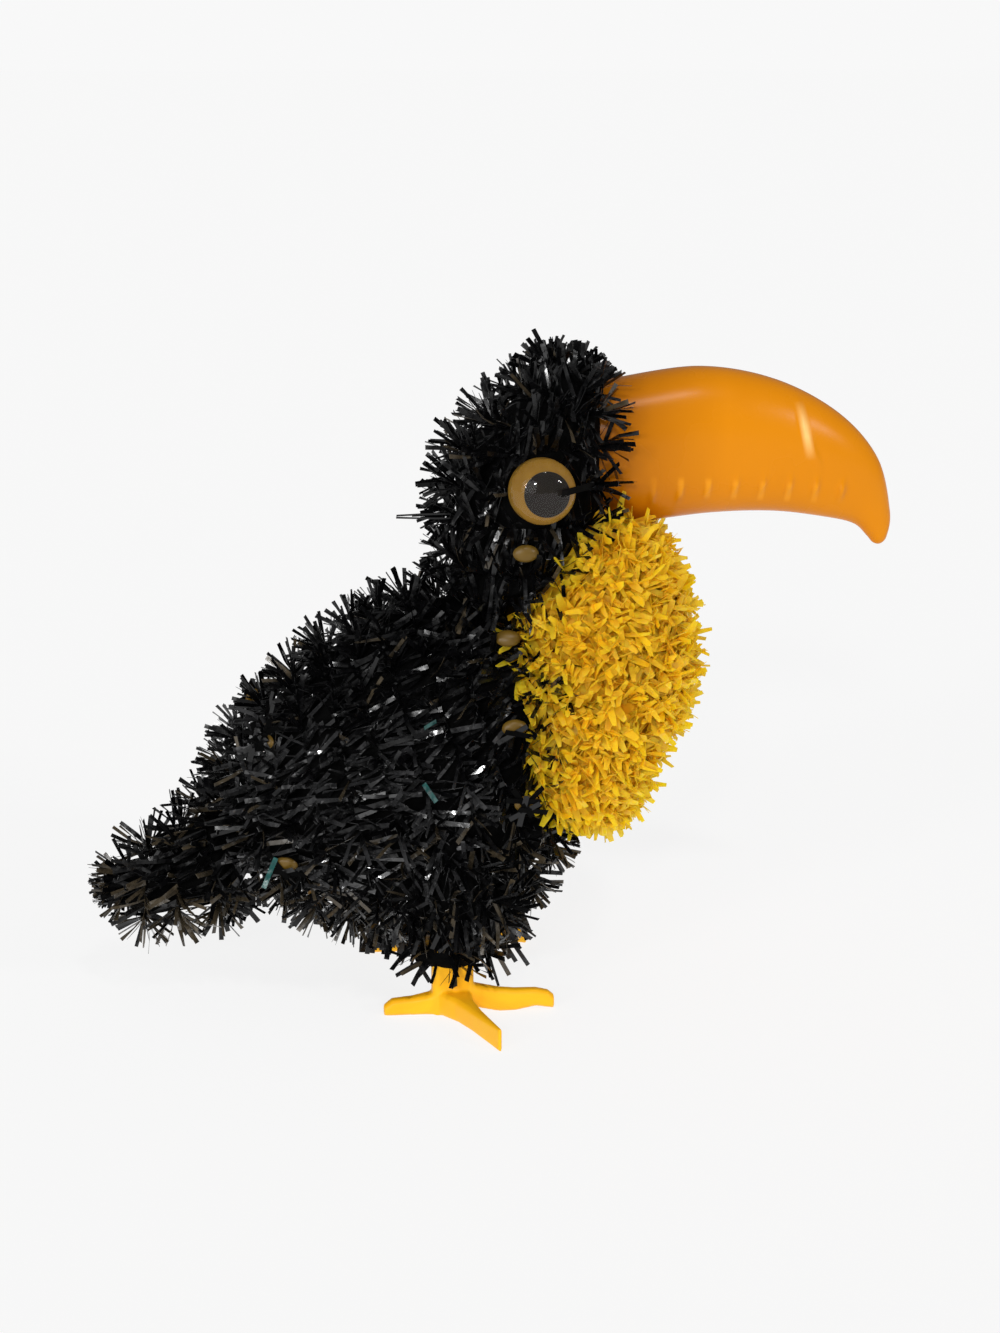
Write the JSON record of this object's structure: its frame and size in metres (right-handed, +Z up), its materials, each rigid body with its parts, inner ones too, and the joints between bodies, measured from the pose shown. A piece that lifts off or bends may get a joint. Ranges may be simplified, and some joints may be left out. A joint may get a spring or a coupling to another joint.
{
  "type": "tinsel toucan decoration",
  "caption": "Standing toucan figure wound with black and yellow tinsel garland, with a moulded hooked beak, domed eyes and moulded feet that it stands on.",
  "frame": {"origin": "on the surface that the feet stand on, under the middle of the figure's outline seen from above", "axes": "+X the way that the bird looks, +Y its left side, +Z up"},
  "size_m": [0.3084, 0.1512, 0.2529],
  "materials": {
    "black_tinsel": "gloss black film strips with sparse glints",
    "yellow_tinsel": "soft golden yellow film strips",
    "orange_beak": "smooth moulded orange, satin gloss",
    "amber_eye": "clear dome over an amber ring and a dark pupil",
    "tan_stud": "satin tan",
    "yellow_foot": "smooth moulded warm yellow"
  },
  "bodies": {
    "root": {"black_tinsel_body": "black_tinsel", "yellow_tinsel_breast": "yellow_tinsel", "beak": "orange_beak", "right_eye": "amber_eye", "left_eye": "amber_eye", "right_foot": "yellow_foot", "left_foot": "yellow_foot", "right_seam_stud_1": "tan_stud", "right_seam_stud_2": "tan_stud", "right_seam_stud_3": "tan_stud", "right_seam_stud_4": "tan_stud", "right_flank_stud_1": "tan_stud", "right_flank_stud_2": "tan_stud", "left_seam_stud_1": "tan_stud", "left_seam_stud_2": "tan_stud", "left_seam_stud_3": "tan_stud", "left_seam_stud_4": "tan_stud", "left_flank_stud_1": "tan_stud", "left_flank_stud_2": "tan_stud"}
  },
  "joints": []
}
